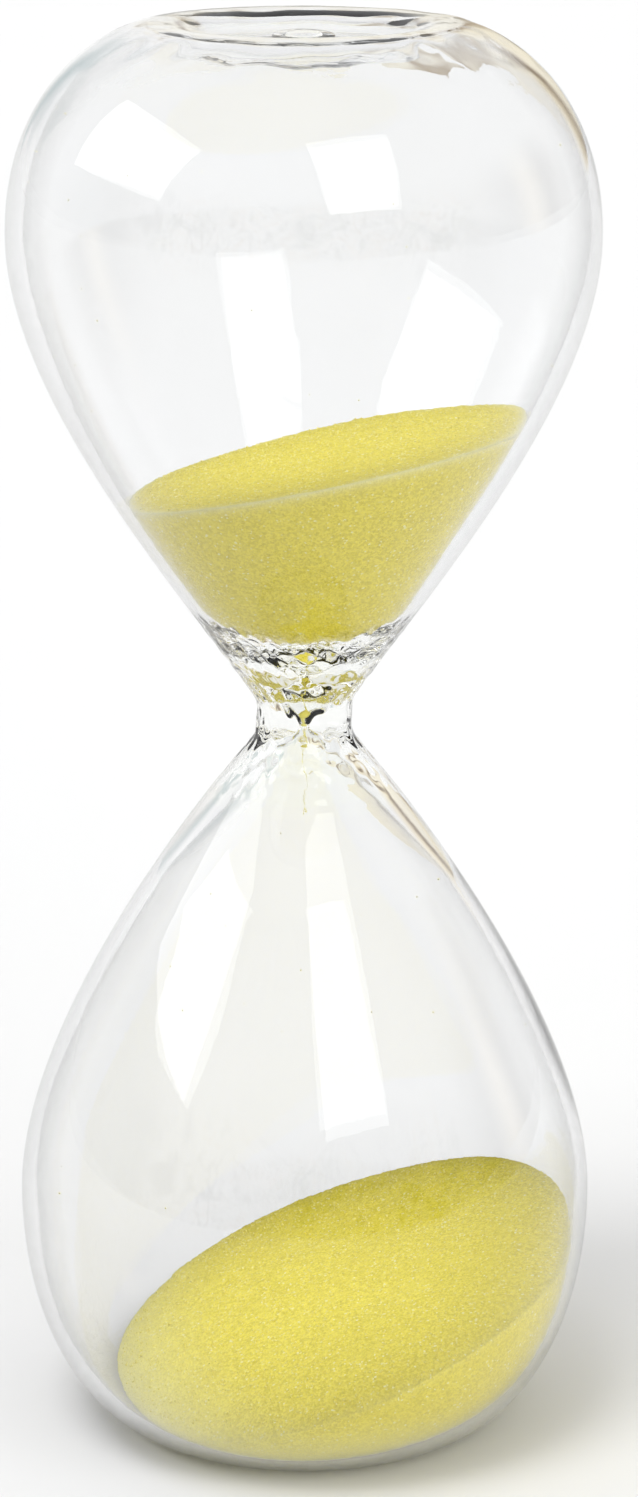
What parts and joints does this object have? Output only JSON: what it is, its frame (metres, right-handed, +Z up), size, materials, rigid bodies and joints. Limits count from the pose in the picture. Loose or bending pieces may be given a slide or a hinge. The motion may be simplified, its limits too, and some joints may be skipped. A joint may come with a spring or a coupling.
{
  "type": "hourglass",
  "caption": "Frameless blown-glass sand timer: two teardrop bulbs fused at a thick waist, loose yellow sand in both.",
  "frame": {"origin": "centre of the ring that the lower bulb stands on, at the bottom of the part", "axes": "+Z up along the glass's axis, from the lower bulb to the upper; +X towards the side where the sand lies highest"},
  "size_m": [0.079, 0.079, 0.194],
  "materials": {
    "glass_bulbs": "clear polished blown glass",
    "glass_throat": "clear fused glass",
    "glass_seal": "clear flame-fused glass",
    "sand": "fine matte yellow sand with small glints"
  },
  "bodies": {
    "glass": {"upper_bulb": "glass_bulbs", "lower_bulb": "glass_bulbs", "throat": "glass_throat", "fill_seal": "glass_seal", "throat_sand": "sand"},
    "upper_grains": {"upper_sand": "sand"},
    "falling_grains": {"sand_stream": "sand"},
    "lower_grains": {"lower_sand": "sand"}
  },
  "joints": [
    {"name": "grain_fall", "type": "slide", "parent": "glass", "child": "falling_grains", "axis": [0, 0, -1], "range_m": [0, 0.0645]},
    {"name": "upper_sand_lift", "type": "slide", "parent": "glass", "child": "upper_grains", "axis": [0, 0, 1], "range_m": [0, 0.036]},
    {"name": "lower_sand_lift", "type": "slide", "parent": "glass", "child": "lower_grains", "axis": [0, 0, 1], "range_m": [0, 0.005]}
  ]
}
